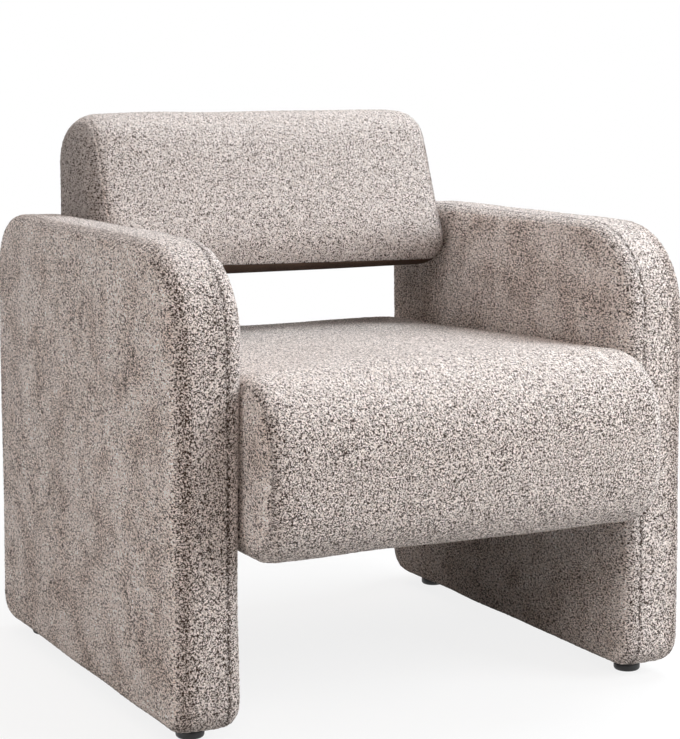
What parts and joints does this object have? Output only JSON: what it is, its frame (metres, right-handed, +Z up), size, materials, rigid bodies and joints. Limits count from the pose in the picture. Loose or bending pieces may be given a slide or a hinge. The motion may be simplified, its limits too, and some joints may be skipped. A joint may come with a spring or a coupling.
{
  "type": "tub chair",
  "caption": "Low upholstered armchair with slab arms down to the floor, a thick block seat standing proud between them, and a wedge back rest above an open gap.",
  "frame": {"origin": "on the floor, under the middle of the whole chair's box", "axes": "+Z up, -Y towards the front edge of the seat, +X towards the right arm as seen from in front"},
  "size_m": [0.703, 0.732, 0.715],
  "materials": {
    "boucle": "matte",
    "foam": "matte",
    "felt": "matte",
    "lining": "matte",
    "strapping": "matte",
    "plywood": "matte",
    "pine": "matte",
    "spring_steel": "satin",
    "zinc_steel": "satin",
    "black_plastic": "satin"
  },
  "bodies": {
    "root": {"left_arm_cover": "boucle", "left_arm_rim_foam": "foam", "left_arm_inner_foam": "foam", "left_arm_outer_foam": "foam", "left_arm_inner_board": "plywood", "left_arm_outer_board": "plywood", "left_arm_front_post": "pine", "left_arm_rear_post": "pine", "left_arm_bottom_rail": "pine", "left_arm_top_rail": "pine", "left_arm_seat_rail": "pine", "left_arm_base_cloth": "lining", "left_front_glide": "black_plastic", "left_rear_glide": "black_plastic", "left_seat_bolt_front": "zinc_steel", "left_seat_bolt_rear": "zinc_steel", "left_back_bolt_front": "zinc_steel", "left_back_bolt_rear": "zinc_steel", "right_arm_cover": "boucle", "right_arm_rim_foam": "foam", "right_arm_inner_foam": "foam", "right_arm_outer_foam": "foam", "right_arm_inner_board": "plywood", "right_arm_outer_board": "plywood", "right_arm_front_post": "pine", "right_arm_rear_post": "pine", "right_arm_bottom_rail": "pine", "right_arm_top_rail": "pine", "right_arm_seat_rail": "pine", "right_arm_base_cloth": "lining", "right_front_glide": "black_plastic", "right_rear_glide": "black_plastic", "right_seat_bolt_front": "zinc_steel", "right_seat_bolt_rear": "zinc_steel", "right_back_bolt_front": "zinc_steel", "right_back_bolt_rear": "zinc_steel", "seat_cover": "boucle", "seat_foam": "foam", "seat_felt": "felt", "seat_left_rail": "pine", "seat_right_rail": "pine", "seat_front_rail": "pine", "seat_rear_rail": "pine", "seat_spring_1": "spring_steel", "seat_spring_2": "spring_steel", "seat_spring_3": "spring_steel", "seat_spring_4": "spring_steel", "seat_base_cloth": "lining", "back_cover": "boucle", "back_foam": "foam", "back_left_end_board": "plywood", "back_right_end_board": "plywood", "back_top_rail": "pine", "back_bottom_rail": "pine", "back_rear_panel": "plywood", "back_strap_1": "strapping", "back_strap_2": "strapping", "back_strap_3": "strapping", "back_base_cloth": "lining"}
  },
  "joints": []
}
